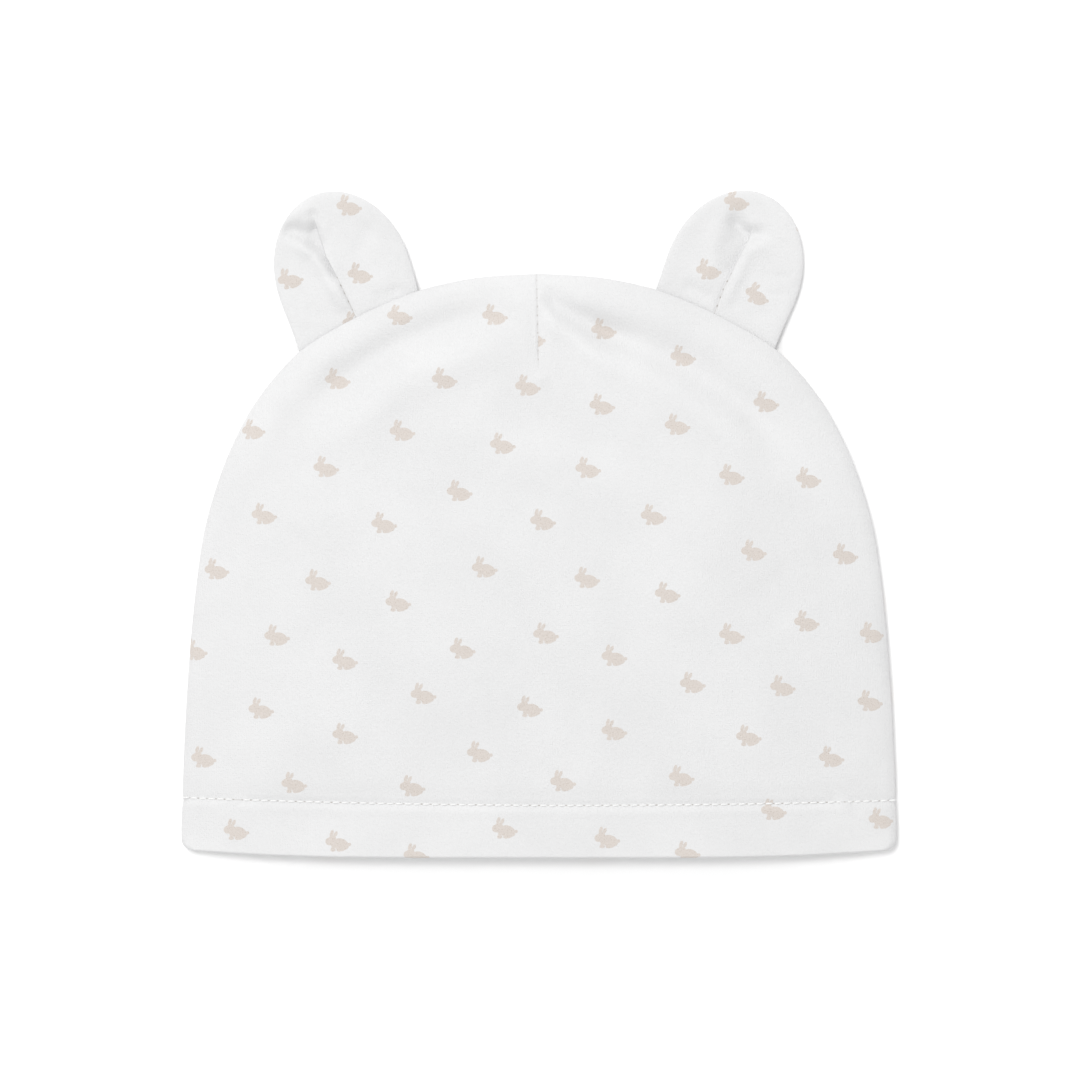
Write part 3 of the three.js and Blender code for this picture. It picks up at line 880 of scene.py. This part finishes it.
def ear_piece(ear):
    lean = math.radians(ear["lean"])
    root = np.array(ear["root"])
    frame_ways = np.array([
        [ear["side"] * math.cos(lean), -math.sin(lean)],
        [ear["side"] * math.sin(lean), math.cos(lean)],
    ])
    turns = np.radians([-50, -25, *np.linspace(0, 90, 9)])
    shares = [*np.linspace(0.02, 0.86, 44), 0.89, 0.92, 0.945, 0.965, 0.98, 0.992, 1.0]
    plan = ear_rows(ear, turns, shares)
    heights = ear_front(ear, plan)
    edge_puff = 0.55 * (ROOT_PUFF + (EAR_PUFF - ROOT_PUFF) * smooth((plan[..., 1] - 1.0) / 9))
    edge = ear_level(plan[..., 1]) + 0.02 + edge_puff * math.sin(math.radians(50))
    for row, turn in enumerate(turns):
        reach = edge_puff[row] if turn < 0 else heights[row] - edge[row]
        heights[row] = edge[row] + reach * math.sin(turn)
    under_turns = np.radians([-20, 10, 35, 60, 90])
    under_plan = ear_rows(ear, under_turns, [*np.linspace(0.1, 0.9, 9), 1.0])
    along = under_plan[..., 1]
    rest = 0.12 + 0.2 * (1 + unevenness(under_plan, 9, 2.2)) * smooth((16 - along) / 12)
    under = rest + (SEAM_LEVEL - ROOT_PUFF - rest) * (1 - smooth((along + 1) / 7))
    for row, turn in enumerate(under_turns):
        level = ear_level(along[row])
        under[row] = level + (under[row] - level) * max(0.12, math.sin(turn))
    top = np.concatenate([root + plan @ frame_ways, heights[..., None]], axis=-1)
    bottom = np.concatenate([root + under_plan @ frame_ways, under[..., None]], axis=-1)
    # From behind the print reads the same way round, so its map is mirrored there and laid beside the other.
    behind = bottom[..., :2] * [-1, 1] + [2 * root[0] + BEHIND, 0]
    rabbits = np.array(spot_rows(ear["rabbits"]))

    def ear_sewing(points):
        out, along = ((points[:, :2] - root) @ frame_ways.T).T
        # How strongly shade is painted into the crease's sewn groove, on the front layer only.
        crease_shade = smooth((along - 0.3) / 1.2) * smooth((15 - along) / 6) * (points[:, 2] > EAR_LEVEL)
        return np.column_stack([beyond_crease(ear, out, along), along / 2.2, 0.8 * crease_shade])

    def ear_side(places):
        out, along = ((places - root) @ frame_ways.T).T
        return np.sign(beyond_crease(ear, out, along))

    return closed_mesh(
        "hat_" + ear["name"],
        [
            {"places": top, "cloth": top[..., :2], "is_right": np.ones(top.shape[:2], bool)},
            {"places": bottom, "cloth": behind, "is_right": np.ones(bottom.shape[:2], bool)},
        ],
        ear_sewing,
        np.vstack([rabbits, rabbits * [1, 1, 1, 0] + [BEHIND, 0, 0, 0]]),
        sewn_side=ear_side,
    )


for ear in EARS:
    piece = ear_piece(ear)
    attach(piece, "root")
    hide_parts(ear["name"])

# ==== Hem stitches ======================================================================================
# A row of white thread holds the turned-up hem of each panel. Each stitch lies in the groove that it pulls,
# and goes down through a needle hole at each end.
STITCH = {"length": 2.0, "width": 0.50, "rings": 9, "sides": 8}


def thread_material():
    material = bpy.data.materials.new("white_thread")
    material.use_nodes = True
    tree = material.node_tree
    shader = tree.nodes["Principled BSDF"]
    place = tree.nodes.new("ShaderNodeTexCoord").outputs["Object"]
    twist = ramp_node(tree, noise_node(tree, place, 4000.0), 0.3, 0.7)
    colour = mix_colour(tree, twist, (0.73, 0.73, 0.725, 1), (0.80, 0.80, 0.795, 1))
    tree.links.new(colour, shader.inputs["Base Color"])
    shader.inputs["Roughness"].default_value = 0.7
    return material


def one_stitch():
    """A short length of thread that arches up between its two needle holes."""
    sides = STITCH["sides"]
    points = []
    for share in np.linspace(-1, 1, STITCH["rings"]):
        girth = math.sqrt(1 - abs(share) ** 3) + 0.02
        for angle in np.linspace(0, 2 * math.pi, sides, endpoint=False):
            y = 0.5 * STITCH["width"] * girth * math.cos(angle)
            z = 0.36 * STITCH["width"] * girth * math.sin(angle) + 0.10 * (1 - share**2) - 0.25 * share**4
            points.append((0.5 * STITCH["length"] * share * MM, y * MM, z * MM))
    last = len(points) - sides
    faces = [tuple(range(sides)), tuple(range(last, last + sides))[::-1]]
    for start in range(0, last, sides):
        for j in range(sides):
            a, b = start + j, start + (j + 1) % sides
            faces.append((a, a + sides, b + sides, b))
    mesh = bpy.data.meshes.new("stitch")
    mesh.from_pydata(points, [], faces)
    mesh.polygons.foreach_set("use_smooth", [True] * len(faces))
    return bpy.data.objects.new("stitch", mesh)


def stitch_row_tree(thread, stitch):
    """Sets a stitch at every pitch along a line, slanted a little and each a little astray."""
    tree = bpy.data.node_groups.new("row_of_stitches", "GeometryNodeTree")
    tree.interface.new_socket("Geometry", in_out="INPUT", socket_type="NodeSocketGeometry")
    tree.interface.new_socket("Pitch", in_out="INPUT", socket_type="NodeSocketFloat")
    tree.interface.new_socket("Slant", in_out="INPUT", socket_type="NodeSocketFloat")
    tree.interface.new_socket("Geometry", in_out="OUTPUT", socket_type="NodeSocketGeometry")
    add = tree.nodes.new
    link = tree.links.new
    given = add("NodeGroupInput")
    curve = add("GeometryNodeMeshToCurve")
    link(given.outputs["Geometry"], curve.inputs["Mesh"])
    pitched = add("GeometryNodeResampleCurve")
    pitched.mode = "LENGTH"
    link(curve.outputs["Curve"], pitched.inputs["Curve"])
    link(given.outputs["Pitch"], pitched.inputs["Length"])
    align = add("FunctionNodeAlignRotationToVector")
    align.axis = "X"
    link(add("GeometryNodeInputTangent").outputs[0], align.inputs["Vector"])
    stray = add("FunctionNodeRandomValue")
    stray.data_type = "FLOAT"
    stray.inputs["Min"].default_value = -0.05
    stray.inputs["Max"].default_value = 0.05
    stray.inputs["Seed"].default_value = 4
    slant = add("ShaderNodeMath")
    link(given.outputs["Slant"], slant.inputs[0])
    link(stray.outputs[1], slant.inputs[1])
    spin = add("ShaderNodeCombineXYZ")
    link(slant.outputs[0], spin.inputs["Z"])
    turn = add("FunctionNodeRotateRotation")
    turn.rotation_space = "LOCAL"
    link(align.outputs[0], turn.inputs[0])
    link(spin.outputs[0], turn.inputs[1])
    shape = add("GeometryNodeObjectInfo")
    shape.inputs["Object"].default_value = stitch
    placed = add("GeometryNodeInstanceOnPoints")
    link(pitched.outputs["Curve"], placed.inputs["Points"])
    link(shape.outputs["Geometry"], placed.inputs["Instance"])
    link(turn.outputs[0], placed.inputs["Rotation"])
    realize = add("GeometryNodeRealizeInstances")
    link(placed.outputs[0], realize.inputs[0])
    finish = add("GeometryNodeSetMaterial")
    finish.inputs["Material"].default_value = thread
    link(realize.outputs[0], finish.inputs["Geometry"])
    link(finish.outputs[0], add("NodeGroupOutput").inputs["Geometry"])
    return tree


stitch = one_stitch()
row_tree = stitch_row_tree(thread_material(), stitch)
row_inputs = [item.identifier for item in row_tree.interface.items_tree if item.in_out == "INPUT"]
STITCH_SLANT = 0.05  # in radians, to the line of the row


def stitch_row(name, path, lift):
    """One row along a path on the cloth, made a plain mesh; "lift" raises it off the cloth."""
    line = bpy.data.meshes.new("stitch_line")
    places = (path + [0, 0, lift]) * MM + [0, HEM_Y, 0]
    line.from_pydata(places.tolist(), [(i, i + 1) for i in range(len(places) - 1)], [])
    guide = bpy.data.objects.new("stitch_line", line)
    bpy.context.scene.collection.objects.link(guide)
    modifier = guide.modifiers.new("row_of_stitches", "NODES")
    modifier.node_group = row_tree
    modifier[row_inputs[1]] = STITCH_PITCH * MM
    modifier[row_inputs[2]] = STITCH_SLANT
    evaluated = guide.evaluated_get(bpy.context.evaluated_depsgraph_get())
    row = bpy.data.objects.new(name, bpy.data.meshes.new_from_object(evaluated))
    bpy.data.objects.remove(guide)
    bpy.context.scene.collection.objects.link(row)
    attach(row, "root")
    return row


front_stitches = stitch_row("front_hem_stitches", front_stitch_path[0], 0.06)
back_stitches = stitch_row("back_hem_stitches", back_stitch_path[0], -0.06)
bpy.data.objects.remove(stitch)

# ==== Table, light and camera ===========================================================================
# A plain white table seen from straight above. A small softbox high at the top left draws thin shadows, and
# a large one, lower on the same side, models the folds.
table_mesh = bpy.data.meshes.new("table")
table_mesh.from_pydata([(-3, -3, 0), (3, -3, 0), (3, 3, 0), (-3, 3, 0)], [], [(0, 1, 2, 3)])
white_table = bpy.data.materials.new("white_table")
white_table.use_nodes = True
table_shader = white_table.node_tree.nodes["Principled BSDF"]
table_shader.inputs["Base Color"].default_value = (0.97, 0.97, 0.97, 1)
table_shader.inputs["Roughness"].default_value = 0.9
table_shader.inputs["Specular IOR Level"].default_value = 0.0
table_mesh.materials.append(white_table)
table = bpy.data.objects.new("table", table_mesh)
bpy.context.scene.collection.objects.link(table)

world = bpy.data.worlds.new("studio")
world.use_nodes = True
world.node_tree.nodes["Background"].inputs["Color"].default_value = (1, 1, 1, 1)
world.node_tree.nodes["Background"].inputs["Strength"].default_value = 0.77
bpy.context.scene.world = world


def softbox(name, place, size, watts):
    data = bpy.data.lights.new(name, "AREA")
    data.shape = "SQUARE"
    data.size = size
    data.energy = watts
    lamp = bpy.data.objects.new(name, data)
    lamp.location = place
    lamp.rotation_euler = (-Vector(place)).to_track_quat("-Z", "Y").to_euler()
    bpy.context.scene.collection.objects.link(lamp)


softbox("high_light", (-0.38, 0.36, 2.0), 0.5, 17.5)
softbox("low_light", (-0.45, 1.65, 1.3), 1.2, 9)

VIEW_WIDTH = 0.270
CAMERA_HEIGHT = 1.4
camera_data = bpy.data.cameras.new("camera")
camera_data.lens = camera_data.sensor_width * CAMERA_HEIGHT / VIEW_WIDTH
camera = bpy.data.objects.new("camera", camera_data)
camera.location = (0.00025, HEM_Y + 79.25 * MM, CAMERA_HEIGHT + 0.005)
bpy.context.scene.collection.objects.link(camera)
bpy.context.scene.camera = camera
bpy.context.scene.view_settings.view_transform = "Standard"
